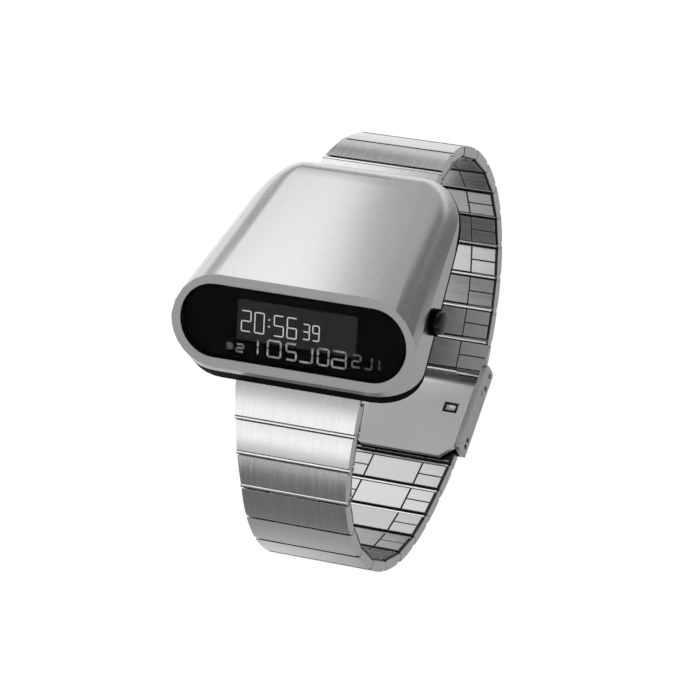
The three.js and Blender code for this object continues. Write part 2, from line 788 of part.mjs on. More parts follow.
// The two sides cut to the bracelet's taper
function narrowed(body, startWidth, endWidth) {
  const from = -biteRadius;
  const to = linkPitch + biteRadius;
  const perLength = (endWidth - startWidth) / 2 / linkPitch;
  const widthAt = (y) => startWidth / 2 + perLength * y;
  const shape = new THREE.Shape([
    new THREE.Vector2(-widthAt(from), from),
    new THREE.Vector2(widthAt(from), from),
    new THREE.Vector2(widthAt(to), to),
    new THREE.Vector2(-widthAt(to), to),
  ]);
  return body.intersect(solidOf(raised(shape, -linkInner - overrun, linkTop + overrun)));
}

function widthAfter(count) {
  const share = Math.min(count / taperedLinks, 1);
  return linkWidthAtCase + (linkWidth - linkWidthAtCase) * share;
}

// Angles of a run of equal links whose bend changes smoothly from one pin to the
// next, found so that the last pin lands on its place
function runAngles(start, end, count, startAngle, firstBend, turnGuess) {
  const anglesFor = ([square, cube]) => {
    const angles = [];
    for (let i = 0; i < count; i += 1) {
      angles.push(degrees(startAngle + firstBend * i) + square * i ** 2 + cube * i ** 3);
    }
    return angles;
  };
  const missBy = (terms) => {
    const angles = anglesFor(terms);
    const y = angles.reduce((sum, angle) => sum + linkPitch * Math.cos(angle), start[0]);
    const z = angles.reduce((sum, angle) => sum + linkPitch * Math.sin(angle), start[1]);
    return [y - end[0], z - end[1]];
  };
  const terms = [degrees(turnGuess - firstBend * (count - 1)) / (count - 1) ** 2, 0];
  const step = 1e-6;
  for (let round = 0; round < 60; round += 1) {
    const miss = missBy(terms);
    const bySquare = missBy([terms[0] + step, terms[1]]).map((value, i) => (value - miss[i]) / step);
    const byCube = missBy([terms[0], terms[1] + step]).map((value, i) => (value - miss[i]) / step);
    const size = bySquare[0] * byCube[1] - byCube[0] * bySquare[1];
    terms[0] -= (miss[0] * byCube[1] - byCube[0] * miss[1]) / size / 2;
    terms[1] -= (bySquare[0] * miss[1] - miss[0] * bySquare[1]) / size / 2;
  }
  return anglesFor(terms);
}

// Pins of a run, from its lug outwards
function runPins(start, angles) {
  const pins = [start];
  angles.forEach((angle) => {
    const [y, z] = pins[pins.length - 1];
    pins.push([y + linkPitch * Math.cos(angle), z + linkPitch * Math.sin(angle)]);
  });
  return pins;
}

const glassY = -glassAheadOfFoot;
const frontLug = [glassY - frontLugAhead, glassAboveFoot - frontLugDrop];
const rearLug = [glassY + rearLugBehind, glassAboveFoot - rearLugDrop];
const frontRunEnd = [claspFrontPin - linkPitch, claspPinHeight];
const rearRunEnd = [claspRearPin, claspPinHeight];
const frontAngles = [
  ...runAngles(frontLug, frontRunEnd, frontLinks - 1, frontStartAngle, frontFirstBend, frontTurnGuess),
  2 * Math.PI,
];
const rearAngles = runAngles(rearLug, rearRunEnd, rearLinks, rearStartAngle, rearFirstBend, rearTurnGuess);
const frontPins = runPins(frontLug, frontAngles);
const rearPins = runPins(rearLug, rearAngles);

// Clasp heights that follow
const plateLow = claspPinHeight + linkTop + claspPlateLift;
const plateTop = plateLow + claspPlateThickness;
const hingeHeight = plateTop - claspHingeRadius;
const claspHalfInside = linkWidth / 2 + claspSideGap;
const claspHalf = claspHalfInside + claspWall;

// The outer cover of the clasp: a sheet bent up along both sides
function claspCoverSolid() {
  const wide = claspHalf + overrun;
  const sheet = solidOf(channel(claspHalf, 0, claspBend));
  const space = solidOf(channel(claspHalfInside, claspFloor, 0));
  const side = solidOf(across(wallPoints(), -wide, wide));
  const holes = [
    [claspRearPin, claspPinHeight],
    [claspRearPin - adjustHoleSpacing, claspPinHeight],
    [claspFrontPin, claspPinHeight],
    [claspFrontPin - adjustHoleSpacing / 2, claspPinHeight],
  ].map(([y, z]) => solidOf(rodAlongX(adjustHoleRadius, -wide, wide, y, z)));
  const hinge = solidOf(rodAlongX(claspHingePinRadius + fitGap, -wide, wide, claspPlateHinge, hingeHeight));
  return sheet.subtract(space).intersect(side).subtract(joined([...holes, hinge]));
}

// A bar along Y with rounded lower edges, as tall and long as the clasp and more
function channel(half, low, bend) {
  const points = [new THREE.Vector2(half, claspHeight + overrun), new THREE.Vector2(-half, claspHeight + overrun)];
  const steps = bend > 0 ? roundSteps / 2 : 0;
  for (let i = 0; i <= steps; i += 1) {
    const angle = Math.PI + (Math.PI / 2) * (steps > 0 ? i / steps : 0);
    points.push(new THREE.Vector2(-half + bend * (1 + Math.cos(angle)), low + bend * (1 + Math.sin(angle))));
  }
  for (let i = 0; i <= steps; i += 1) {
    const angle = (3 * Math.PI) / 2 + (Math.PI / 2) * (steps > 0 ? i / steps : 0);
    points.push(new THREE.Vector2(half - bend * (1 - Math.cos(angle)), low + bend * (1 + Math.sin(angle))));
  }
  const geometry = new THREE.ExtrudeGeometry(new THREE.Shape(points), {
    depth: claspFront + claspRear + overrun * 2,
    bevelEnabled: false,
  });
  geometry.rotateX(Math.PI / 2);
  geometry.translate(0, claspRear + overrun, 0);
  return geometry;
}

// Side wall outline with four round corners
function wallPoints() {
  const points = [];
  const arc = (y, z, radius, from) => {
    for (let i = 0; i <= roundSteps / 2; i += 1) {
      const angle = from + (Math.PI / 2) * (i / (roundSteps / 2));
      points.push([y + radius * Math.cos(angle), z + radius * Math.sin(angle)]);
    }
  };
  arc(-claspFront + claspFrontCorner, claspFrontCorner, claspFrontCorner, Math.PI);
  arc(claspRear - claspRearCorner, claspRearCorner, claspRearCorner, (3 * Math.PI) / 2);
  arc(claspRear - claspTopCorner, claspHeight - claspTopCorner, claspTopCorner, 0);
  arc(-claspFront + claspTopCorner, claspHeight - claspTopCorner, claspTopCorner, Math.PI / 2);
  return points;
}

// The inner plate: folds up round its hinge, and its lip stands behind the front bar
function claspPlateSolid() {
  const half = claspHalfInside - claspPlateGap;
  const shape = new THREE.Shape([
    new THREE.Vector2(-half, claspPlateHinge),
    new THREE.Vector2(-half, -claspPlateFront + claspPlateChamfer),
    new THREE.Vector2(-half + claspPlateChamfer, -claspPlateFront),
    new THREE.Vector2(half - claspPlateChamfer, -claspPlateFront),
    new THREE.Vector2(half, -claspPlateFront + claspPlateChamfer),
    new THREE.Vector2(half, claspPlateHinge),
  ]);
  const plate = solidOf(raised(shape, plateLow, plateTop));
  const barrel = solidOf(rodAlongX(claspHingeRadius, -half, half, claspPlateHinge, hingeHeight, roundSteps * 2));
  const boreRadius = claspHingePinRadius + pinGap;
  const bore = solidOf(rodAlongX(boreRadius, -half - overrun, half + overrun, claspPlateHinge, hingeHeight));
  const lipNear = claspFrontPin + knuckleRadius + claspPlateGap / 2;
  const lipHalf = tongueWidth / 2 - runGap;
  const lip = solidOf(block(
    [-lipHalf, lipNear, plateLow - seatLipDepth],
    [lipHalf, lipNear + seatLipThickness, plateLow + claspPlateThickness / 2],
  ));
  const windows = [-1, 1].map((side) => solidOf(block(
    [side * claspWindowSide - claspWindowWidth / 2, claspWindowAlong - claspWindowLength / 2, plateLow - overrun],
    [side * claspWindowSide + claspWindowWidth / 2, claspWindowAlong + claspWindowLength / 2, plateTop + overrun],
  )));
  return joined([plate, barrel, lip]).subtract(bore).subtract(joined(windows));
}

// A strip on the cover's floor with two hooks that stand in the plate's windows
function catchSolid() {
  const low = claspFloor + fitGap;
  const halfLength = claspWindowLength / 2 - catchGap;
  const reach = claspWindowSide + claspWindowWidth / 2;
  const strip = solidOf(block(
    [-reach, claspWindowAlong - claspWindowLength / 2, low],
    [reach, claspWindowAlong + claspWindowLength / 2, low + catchStrip],
  ));
  const hooks = [-1, 1].map((side) => solidOf(block(
    [side * claspWindowSide - claspWindowWidth / 2 + catchGap, claspWindowAlong - halfLength, low],
    [side * claspWindowSide + claspWindowWidth / 2 - catchGap, claspWindowAlong + halfLength, plateTop - pinGap],
  )));
  return joined([strip, ...hooks]);
}

function named(name, geometry, material, parent) {
  const mesh = new THREE.Mesh(geometry, material);
  mesh.name = name;
  parent.add(mesh);
  return mesh;
}

const watch = new THREE.Group();
const caseGroup = new THREE.Group();
caseGroup.position.set(0, glassY, glassAboveFoot);
watch.add(caseGroup);
const faceGroup = new THREE.Group();
faceGroup.rotation.x = degrees(faceSlope);
caseGroup.add(faceGroup);
const buttonGroup = new THREE.Group();
buttonGroup.position.set(0, buttonAlong, -buttonDrop);
caseGroup.add(buttonGroup);

function addCase() {
  named('case_shell', geometryOf(shellSolid()), satinSteel, caseGroup);
  named('front_glass', glassGeometry(), clearGlass, faceGroup);
  named('display_mask', maskGeometry(), blackMask, faceGroup);
  named('glass_gasket', gasketGeometry(), rubber, faceGroup);
  named('lcd_panel', panelGeometry(), displayGrey, faceGroup);
  named('backlight', backlightGeometry(), whitePlastic, faceGroup);
  named('case_base', geometryOf(baseSolid()), blackMetal, caseGroup);
  named('back_cover', geometryOf(coverSolid()), brushedSteel, caseGroup);
  screwPlaces().forEach(([x, y], i) => {
    named(`cover_screw_${i + 1}`, geometryOf(screwSolid(x, y)), nickel, caseGroup);
  });
}

function addMovement() {
  named('module_frame', geometryOf(frameSolid()), whitePlastic, caseGroup);
  named('coin_battery', geometryOf(batterySolid()), nickel, caseGroup);
  named('battery_clip', geometryOf(clipSolid()), springSteel, caseGroup);
  named('circuit_board', geometryOf(boardSolid()), greenBoard, caseGroup);
  named('display_connector', connectorGeometry(), rubber, caseGroup);
  named('clock_chip', chipGeometry(), blackMask, caseGroup);
}

function addButton() {
  named('button_collar', geometryOf(collarSolid()), blackMetal, buttonGroup);
  named('side_button', buttonGeometry(), blackPolish, buttonGroup);
  named('button_retainer', geometryOf(retainerSolid()), springSteel, buttonGroup);
  named('button_spring', springGeometry(), springSteel, buttonGroup);
}

function addBracelet() {
  const barHalf = lugHalfWidth - fitGap;
  [['front', frontLug], ['rear', rearLug]].forEach(([end, [y, z]]) => {
    named(`${end}_lug_bar`, rodAlongX(linkPinRadius, -barHalf, barHalf, y, z), springSteel, watch);
  });
  const pinReach = tongueWidth / 2 + tongueGap + tongueGap * 4;
  const startEdge = (i) => (i === 0 ? -firstLinkCover : linkEdgeGap);
  for (let i = 0; i < frontLinks; i += 1) {
    const geometry = geometryOf(linkSolid(widthAfter(i), widthAfter(i + 1), pinReach, startEdge(i)));
    const link = named(`front_link_${i + 1}`, geometry, brushedSteel, watch);
    link.position.set(0, frontPins[i][0], frontPins[i][1]);
    link.rotation.set(frontAngles[i] + Math.PI, 0, Math.PI);
  }
  for (let i = 0; i < rearLinks; i += 1) {
    const last = i === rearLinks - 1;
    const reach = last ? claspHalfInside + claspWall / 2 : pinReach;
    const geometry = geometryOf(linkSolid(widthAfter(i), widthAfter(i + 1), reach, startEdge(i)));
    const link = named(`rear_link_${i + 1}`, geometry, brushedSteel, watch);
    link.position.set(0, rearPins[i][0], rearPins[i][1]);
    link.rotation.x = rearAngles[i];
  }
}

function addClasp() {
  named('clasp_cover', geometryOf(claspCoverSolid()), satinSteel, watch);
  named('clasp_plate', geometryOf(claspPlateSolid()), satinSteel, watch);
  named('clasp_catch', geometryOf(catchSolid()), springSteel, watch);
  const half = claspHalf - fitGap;
  const pin = rodAlongX(claspHingePinRadius, -half, half, claspPlateHinge, hingeHeight);
  named('clasp_hinge_pin', pin, springSteel, watch);
}

addCase();
addMovement();
addButton();
addBracelet();
addClasp();

export default watch;
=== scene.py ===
import json
import math

import bmesh
import bpy
from mathutils import Matrix, Vector

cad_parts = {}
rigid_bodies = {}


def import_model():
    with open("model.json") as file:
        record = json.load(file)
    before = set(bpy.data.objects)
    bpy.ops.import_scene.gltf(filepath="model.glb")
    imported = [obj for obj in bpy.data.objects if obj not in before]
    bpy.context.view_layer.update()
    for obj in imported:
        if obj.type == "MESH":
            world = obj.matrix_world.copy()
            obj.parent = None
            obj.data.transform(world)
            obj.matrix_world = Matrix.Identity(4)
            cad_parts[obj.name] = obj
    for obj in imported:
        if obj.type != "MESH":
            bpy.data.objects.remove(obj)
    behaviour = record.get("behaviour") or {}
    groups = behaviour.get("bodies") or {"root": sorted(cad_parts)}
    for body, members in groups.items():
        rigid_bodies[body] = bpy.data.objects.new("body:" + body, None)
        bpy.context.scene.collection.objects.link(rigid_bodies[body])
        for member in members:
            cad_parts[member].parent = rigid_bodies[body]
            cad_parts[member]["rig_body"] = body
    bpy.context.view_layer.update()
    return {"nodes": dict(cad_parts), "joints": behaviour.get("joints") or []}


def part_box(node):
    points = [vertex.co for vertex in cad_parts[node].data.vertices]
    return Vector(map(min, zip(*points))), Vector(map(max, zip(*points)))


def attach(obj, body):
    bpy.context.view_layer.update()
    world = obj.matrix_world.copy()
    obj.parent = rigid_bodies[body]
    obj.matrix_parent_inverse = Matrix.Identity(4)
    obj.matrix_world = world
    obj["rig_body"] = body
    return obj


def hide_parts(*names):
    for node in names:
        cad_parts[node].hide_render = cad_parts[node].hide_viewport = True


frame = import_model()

scene = bpy.context.scene

MM = 0.001

# The camera stands where the photograph was taken from
camera_place = Vector((0.25065, -0.23988, 0.54233))
camera_right = Vector((0.9012, 0.3131, -0.2997))
camera_back = Vector((0.4079, -0.3788, 0.8307))
camera_lens = 212.3

# The sloping face of the case: its glass centre and its tilt
face_centre = Vector((0, -14.95, 51.6)) * MM
face_slope = math.radians(40)
panel_depth = 1.53 * MM

# The display's digits, on the face, in millimetres from the glass centre
digit_low, digit_high = -1.2, 1.83
digit_width = 1.5
digit_lefts = (-8.87, -6.72, -3.58, -1.47)
small_low, small_high = -1.0, 1.23
small_width = 1.02
small_lefts = (1.09, 2.65)
colon_place = -4.41
colon_heights = (0.02, 1.02)
stroke = 0.17
stroke_height = 0.02
bar_gap = 0.12
colon_size = 0.7

# Below them, a painted reflection: glowing plates behind the glass stand in for a row of broad digits that
# the glass mirrors; each one's sign, left, low, width and height
mirrored_depth = 1.19
mirrored_stroke = 0.3
reflection_fade = (5, 12)
mirrored_row = (
    ("3", -11.1, -4.0, 1.1, 0.7), ("5", -9.4, -4.3, 1.2, 1.1), ("1", -7.2, -4.3, 1.3, 2.2),
    ("0", -4.3, -4.3, 2.1, 2.4), ("2", -1.3, -4.3, 1.6, 2.4), ("7", 0.8, -4.3, 2.1, 2.4),
    ("0", 3.8, -4.3, 1.7, 2.4), ("9", 6.1, -4.3, 2.2, 2.4), ("5", 9.3, -3.8, 1.3, 1.8),
    ("7", 11.2, -3.8, 1.2, 1.8), ("1", 12.6, -3.8, 1.0, 1.6),
)

# The middle of the bracelet's ring
ring_centre = Vector((0, 0, 22)) * MM

# A bracelet link, in millimetres from its pin: its pitch, and the sheets folded on its inner side
link_pitch = 5.15
link_edge = 0.1
edge_gap = 0.3
centre_sheet = 4.1
flap_start = 4.3
sheet_ends = (0.5, 4.65)
sheet_seam = 0.07
sheet_heights = (-1.03, -0.8)
sheet_edge = 0.07
# Over these heights the link's inner side fades into painted shade
inside_shade_heights = (-0.75, -0.5)

# The rolled bead in the gap between two links, and where it dips beside its crest and is painted dark:
# painted shade of the slits
bead_radius = 0.76
bead_cut = 0.705
bead_shade_band = (0.15, 0.24)
last_links = ("front_link_13", "rear_link_12")

# How CAD meshes are cleaned before their edges are softened, and which faces are the case's rim
weld_distance = 0.0005 * MM
flat_angle = math.radians(0.6)
rim_facing = 0.995
rim_depth = -0.6 * MM

# The floor: its half size and drop, and how its own glow fades near, behind and under the watch
floor_size = 6.0
floor_drop = 0.02 * MM
floor_tone = 0.1
near_glow = (0.07, 0.12, 0.27, 0.0)
rear_glow = (0.0, 0.1, 0.14, 1.0)
rear_direction = (-0.8, 0.6, 0)
under_glow = (0.04, 0.066, 0.4, 0.0)
under_side = (0.006, -0.02)

# The studio's lights: a strength each, and along which axes of the direction it fades in
ambient = 0.16
softboxes = (
    (1.43, (("y", 0.25, 0.75), ("x", 0.42, -0.45), ("z", 0.2, 0.36), ("z", 0.85, 0.65))),
    (1.6, (("y", -0.3, -0.6), ("x", 0.3, -0.2), ("z", 0.36, 0.52), ("z", 0.8, 0.6))),
    (1.2, (("x", -0.6, -0.95), ("z", -0.02, 0.2))),
    (1.3, (("x", 0.38, 0.6), ("y", 0.15, -0.05), ("z", 0.0, 0.12), ("z", 0.6, 0.4))),
)

# The grey card: the direction it stands in, its near corner, distance, half size and brightness
card_direction = Vector((-0.42, 0.8, 0.42))
card_corner = Vector((10, 2, 52)) * MM
card_distance = 0.1
card_size = 0.06
card_glow = 0.5

WHITE = (1, 1, 1, 1)
BLACK = (0, 0, 0, 1)

# Which of the seven bars each digit lights: top, two on the right, bottom, two on the left, middle
digit_bars = {
    "0": "abcdef", "1": "bc", "2": "abged", "3": "abgcd", "5": "afgcd", "6": "afgedc", "7": "abc",
    "9": "abfgcd",
}


def linked(obj):
    scene.collection.objects.link(obj)
    return obj


def mesh_object(name, bm):
    mesh = bpy.data.meshes.new(name)
    bm.to_mesh(mesh)
    bm.free()
    return linked(bpy.data.objects.new(name, mesh))


def smooth(obj, angle=32):
    for polygon in obj.data.polygons:
        polygon.use_smooth = True
    obj.data.set_sharp_from_angle(angle=math.radians(angle))


def bevelled(obj, width, segments=2, angle=32):
    bevel = obj.modifiers.new("edge", "BEVEL")
    bevel.width = width * MM
    bevel.segments = segments
    bevel.limit_method = "ANGLE"
    bevel.angle_limit = math.radians(angle)
    bevel.harden_normals = True
    bevel.use_clamp_overlap = True


# Shader helpers


def new_group(name, inputs, outputs):
    group = bpy.data.node_groups.new(name, "ShaderNodeTree")
    for label, kind, value in inputs:
        socket = group.interface.new_socket(name=label, in_out="INPUT", socket_type=kind)
        if value is not None:
            socket.default_value = value
    for label, kind in outputs:
        group.interface.new_socket(name=label, in_out="OUTPUT", socket_type=kind)
    start = group.nodes.new("NodeGroupInput")
    end = group.nodes.new("NodeGroupOutput")
    return group, start, end


def math_node(tree, operation, a, b=None, clamp=False):
    node = tree.nodes.new("ShaderNodeMath")
    node.operation = operation
    node.use_clamp = clamp
    for socket, value in zip(node.inputs, (a, b)):
        if value is None:
            continue
        if isinstance(value, (int, float)):
            socket.default_value = value
        else:
            tree.links.new(value, socket)
    return node.outputs[0]


def noise(tree, vector, scale, detail=3.0, rough=0.55):
    node = tree.nodes.new("ShaderNodeTexNoise")
    node.inputs["Scale"].default_value = scale
    node.inputs["Detail"].default_value = detail
    node.inputs["Roughness"].default_value = rough
    tree.links.new(vector, node.inputs["Vector"])
    return node.outputs["Fac"]


def mix_colour(tree, factor, a, b):
    node = tree.nodes.new("ShaderNodeMix")
    node.data_type = "RGBA"
    for socket, value in zip((node.inputs[0], node.inputs[6], node.inputs[7]), (factor, a, b)):
        if isinstance(value, (int, float, tuple)):
            socket.default_value = value
        else:
            tree.links.new(value, socket)
    return node.outputs[2]


def scaled(tree, vector, scale):
    node = tree.nodes.new("ShaderNodeVectorMath")
    node.operation = "MULTIPLY"
    tree.links.new(vector, node.inputs[0])
    if isinstance(scale, tuple):
        node.inputs[1].default_value = scale
    else:
        tree.links.new(scale, node.inputs[1])
    return node.outputs[0]


def from_range(tree, value, low, high, to_low=0.0, to_high=1.0):
    node = tree.nodes.new("ShaderNodeMapRange")
    node.interpolation_type = "SMOOTHSTEP"
    tree.links.new(value, node.inputs["Value"])
    for label, number in (("From Min", low), ("From Max", high), ("To Min", to_low), ("To Max", to_high)):
        node.inputs[label].default_value = number
    return node.outputs["Result"]


def grain_group(name, spread):
    inputs = [
        ("Place", "NodeSocketVector", None),
        spread,
        ("Light", "NodeSocketColor", (0.7, 0.7, 0.7, 1)),
        ("Dark", "NodeSocketColor", (0.6, 0.6, 0.6, 1)),
        ("Rough Low", "NodeSocketFloat", 0.25),
        ("Rough High", "NodeSocketFloat", 0.4),
    ]
    outputs = [
        ("Colour", "NodeSocketColor"), ("Roughness", "NodeSocketFloat"), ("Height", "NodeSocketFloat"),
    ]
    return new_group(name, inputs, outputs)


def grain_outputs(group, grain, start, end):
    colour = mix_colour(group, grain, start.outputs["Dark"], start.outputs["Light"])
    span = math_node(group, "SUBTRACT", start.outputs["Rough High"], start.outputs["Rough Low"])
    rough = math_node(group, "ADD", math_node(group, "MULTIPLY", grain, span), start.outputs["Rough Low"])
    group.links.new(colour, end.inputs["Colour"])
    group.links.new(rough, end.inputs["Roughness"])
    group.links.new(grain, end.inputs["Height"])
    return group


def axes_of(tree, vector):
    node = tree.nodes.new("ShaderNodeSeparateXYZ")
    tree.links.new(vector, node.inputs[0])
    return dict(zip("xyz", node.outputs))


def brushing_group():
    group, start, end = grain_group("brushed grain", ("Stretch", "NodeSocketVector", (1.0, 1.0, 1.0)))
    place = scaled(group, start.outputs["Place"], start.outputs["Stretch"])
    fine = math_node(group, "MULTIPLY", noise(group, place, 1.0, 2.0, 0.6), 0.6)
    broad = math_node(group, "MULTIPLY", noise(group, place, 0.22, 2.0, 0.5), 0.4)
    streak = math_node(group, "MULTIPLY_ADD", math_node(group, "ADD", fine, broad), 2.2)
    streak.node.inputs[2].default_value = -0.6
    streak.node.use_clamp = True
    return grain_outputs(group, streak, start, end)


def mottle_group():
    group, start, end = grain_group("fine mottle", ("Scale", "NodeSocketFloat", 800.0))
    grain = noise(group, start.outputs["Place"], 1.0, 3.0, 0.6)
    group.links.new(start.outputs["Scale"], grain.node.inputs["Scale"])
    return grain_outputs(group, grain, start, end)


BRUSHING = brushing_group()
MOTTLE = mottle_group()


def base_material(name, metallic=0.0, coat=0.0):
    material = bpy.data.materials.new(name)
    material.use_nodes = True
    shader = shader_of(material)
    shader.inputs["Metallic"].default_value = metallic
    shader.inputs["Coat Weight"].default_value = coat
    shader.inputs["Emission Strength"].default_value = 0.0
    return material, material.node_tree, shader


def shader_of(material):
    return material.node_tree.nodes["Principled BSDF"]


def glowing(material, strength, specular):
    shader = shader_of(material)
    shader.inputs["Emission Color"].default_value = WHITE
    shader.inputs["Emission Strength"].default_value = strength
    shader.inputs["Specular IOR Level"].default_value = specular
    return material


def place_socket(tree, attribute=None):
    if attribute:
        node = tree.nodes.new("ShaderNodeAttribute")
        node.attribute_name = attribute
        return node.outputs["Vector"]
    return tree.nodes.new("ShaderNodeTexCoord").outputs["Object"]


def grained(name, group, light, dark, rough, metallic, bump, attribute=None, coat=0.0, **settings):
    material, tree, shader = base_material(name, metallic, coat)
    grain = tree.nodes.new("ShaderNodeGroup")
    grain.node_tree = group
    tree.links.new(place_socket(tree, attribute), grain.inputs["Place"])
    grain.inputs["Light"].default_value = (*light, 1)
    grain.inputs["Dark"].default_value = (*dark, 1)
    grain.inputs["Rough Low"].default_value = rough[0]
    grain.inputs["Rough High"].default_value = rough[1]
    for label, value in settings.items():
        grain.inputs[label].default_value = value
    relief = tree.nodes.new("ShaderNodeBump")
    relief.inputs["Strength"].default_value = bump
    relief.inputs["Distance"].default_value = 0.01 * MM
    tree.links.new(grain.outputs["Height"], relief.inputs["Height"])
    tree.links.new(relief.outputs["Normal"], shader.inputs["Normal"])
    tree.links.new(grain.outputs["Colour"], shader.inputs["Base Color"])
    tree.links.new(grain.outputs["Roughness"], shader.inputs["Roughness"])
    return material


def grey(value):
    return (value, value, value)


case_steel = grained(
    "satin case steel", BRUSHING, grey(0.68), grey(0.64), (0.25, 0.31), 1.0, 0.05, Stretch=(9000, 500, 9000)
)
# The rim's steel: its own rougher satin finish, and a darker colour that is painted shade
shaded_rim_steel = grained(
    "shaded satin rim steel", BRUSHING, grey(0.36), grey(0.32), (0.34, 0.42), 1.0, 0.15, Stretch=(900, 6000, 6000)
)
link_steel = grained(
    "brushed link steel", BRUSHING, grey(0.7), grey(0.62), (0.22, 0.32), 1.0, 0.3,
    attribute="along_link", Stretch=(12000, 240, 2500)
)
# The inner sheets' steel is a darker copy of the link steel: painted shade of the bracelet's inner side
shaded_sheet_steel = grained(
    "shaded rolled sheet steel", BRUSHING, grey(0.53), grey(0.46), (0.18, 0.28), 1.0, 0.2,
    attribute="along_link", Stretch=(300, 7000, 7000)
)
clasp_steel = grained(
    "brushed clasp steel", BRUSHING, grey(0.62), grey(0.56), (0.28, 0.38), 1.0, 0.2, Stretch=(7000, 400, 7000)
)
# The clasp plate's steel is a lighter copy of the clasp's steel: painted light on the plate
lit_plate_steel = grained(
    "lit satin plate steel", BRUSHING, grey(0.88), grey(0.82), (0.4, 0.5), 1.0, 0.15, Stretch=(400, 7000, 7000)
)
pin_steel = grained(
    "drawn pin steel", BRUSHING, grey(0.6), grey(0.5), (0.2, 0.3), 1.0, 0.2, Stretch=(400, 8000, 8000)
)
nickel = grained(
    "nickel plate", MOTTLE, grey(0.68), grey(0.6), (0.16, 0.26), 1.0, 0.1, Scale=900.0
)
black_coat = grained(
    "black case coating", MOTTLE, grey(0.003), grey(0.0015), (0.4, 0.5), 0.0, 0.2, Scale=3000.0
)
shader_of(black_coat).inputs["Specular IOR Level"].default_value = 0.02
black_polish = grained(
    "black button polish", MOTTLE, grey(0.01), grey(0.006), (0.16, 0.24), 0.0, 0.05, coat=0.1, Scale=1200.0
)
shader_of(black_polish).inputs["Specular IOR Level"].default_value = 0.25
black_print = grained(
    "black border print", MOTTLE, grey(0.002), grey(0.001), (0.3, 0.4), 0.0, 0.05, Scale=1200.0
)
shader_of(black_print).inputs["Specular IOR Level"].default_value = 0.01
black_rubber = grained(
    "black rubber", MOTTLE, grey(0.025), grey(0.015), (0.6, 0.75), 0.0, 0.4, Scale=1800.0
)
white_plastic = grained(
    "white moulding", MOTTLE, grey(0.72), grey(0.66), (0.42, 0.55), 0.0, 0.2, Scale=1500.0
)
green_board = grained(
    "green board lacquer", MOTTLE, (0.03, 0.13, 0.07), (0.015, 0.08, 0.04), (0.3, 0.4), 0.0, 0.2, Scale=700.0
)


# The inner side of a link is painted dark where it shows between its folded sheets: painted shade of the gaps
# there
def painted_inside_shade(material):
    tree = material.node_tree
    colour = shader_of(material).inputs["Base Color"]
    bright = colour.links[0].from_socket
    outward = axes_of(tree, place_socket(tree, "along_link"))["z"]
    low, high = inside_shade_heights
    unshaded = from_range(tree, outward, low * MM, high * MM)
    tree.links.new(mix_colour(tree, unshaded, (*grey(0.03), 1), bright), colour)


painted_inside_shade(link_steel)


# The rolled end of a link: bright along its crest, and painted shade where it dips beside the plates
def bead_material():
    material, tree, shader = base_material("rolled hinge bead", 1.0)
    place = place_socket(tree, "along_link")
    aside = math_node(tree, "ABSOLUTE", axes_of(tree, place)["y"])
    near, far = bead_shade_band
    painted_dip_shade = from_range(tree, aside, near * MM, far * MM)
    rub = noise(tree, scaled(tree, place, (400, 9000, 9000)), 1.0, 2.0)
    crest = mix_colour(tree, rub, (*grey(0.7), 1), (*grey(0.85), 1))
    tree.links.new(mix_colour(tree, painted_dip_shade, crest, (*grey(0.02), 1)), shader.inputs["Base Color"])
    tree.links.new(from_range(tree, rub, 0.2, 0.8, 0.2, 0.32), shader.inputs["Roughness"])
    return material


# The display panel's faint glow is painted light, in place of the light that would reach it through the glass
def panel_material():
    material = grained(
        "display panel", MOTTLE, grey(0.03), grey(0.024), (0.2, 0.26), 0.0, 0.02, Scale=500.0
    )
    return glowing(material, 0.012, 0.08)


# A digit's glow is painted light, in place of the light that would reach it through the glass
def digit_material(name, light, glow):
    material = grained(name, MOTTLE, grey(light), grey(light * 0.9), (0.4, 0.5), 0.0, 0.02, Scale=2500.0)
    return glowing(material, glow, 0.05)


# A painted reflection: a mirrored digit glows patchily, and fainter towards both ends of its row
def painted_reflection_material():
    material = digit_material("painted reflection of digits", 0.1, 0.5)
    tree = material.node_tree
    place = place_socket(tree)
    aside = math_node(tree, "ABSOLUTE", axes_of(tree, place)["x"])
    near, far = reflection_fade
    fade = from_range(tree, aside, near * MM, far * MM, 0.9, 0.2)
    patch = from_range(tree, noise(tree, place, 1300.0), 0.35, 0.65, 0.35, 1.0)
    glow = math_node(tree, "MULTIPLY", fade, patch)
    tree.links.new(mix_colour(tree, glow, BLACK, WHITE), shader_of(material).inputs["Emission Color"])
    return material


def glass_material():
    material, tree, shader = base_material("smoked glass")
    shader.inputs["Transmission Weight"].default_value = 1.0
    shader.inputs["IOR"].default_value = 1.07
    shader.inputs["Base Color"].default_value = (0.75, 0.75, 0.76, 1)
    haze = noise(tree, place_socket(tree), 260.0, 2.0)
    faint = tree.nodes.new("ShaderNodeMapRange")
    faint.inputs["To Min"].default_value = 0.0
    faint.inputs["To Max"].default_value = 0.03
    tree.links.new(haze, faint.inputs["Value"])
    tree.links.new(faint.outputs["Result"], shader.inputs["Roughness"])
    return material


glowing_panel = panel_material()
glowing_digits = digit_material("lit digits", 0.5, 0.6)
painted_reflection_digits = painted_reflection_material()
clear_glass = glass_material()
bead_steel = bead_material()


def on_face(u, v, n):
    across = Vector((1, 0, 0))
    up = Vector((0, math.cos(face_slope), math.sin(face_slope)))
    out = across.cross(up)
    return face_centre + (across * u + up * v + out * n) * MM


# Copies of CAD nodes with softened edges


def merged_copy(node):
    bm = bmesh.new()
    bm.from_mesh(frame["nodes"][node].data)
    bmesh.ops.remove_doubles(bm, verts=bm.verts, dist=weld_distance)
    bmesh.ops.dissolve_limit(bm, angle_limit=flat_angle, verts=bm.verts, edges=bm.edges)
    return bm


def seated(obj, node, material):
    obj.data.materials.clear()
    obj.data.materials.append(material)
    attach(obj, frame["nodes"][node]["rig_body"])
    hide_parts(node)


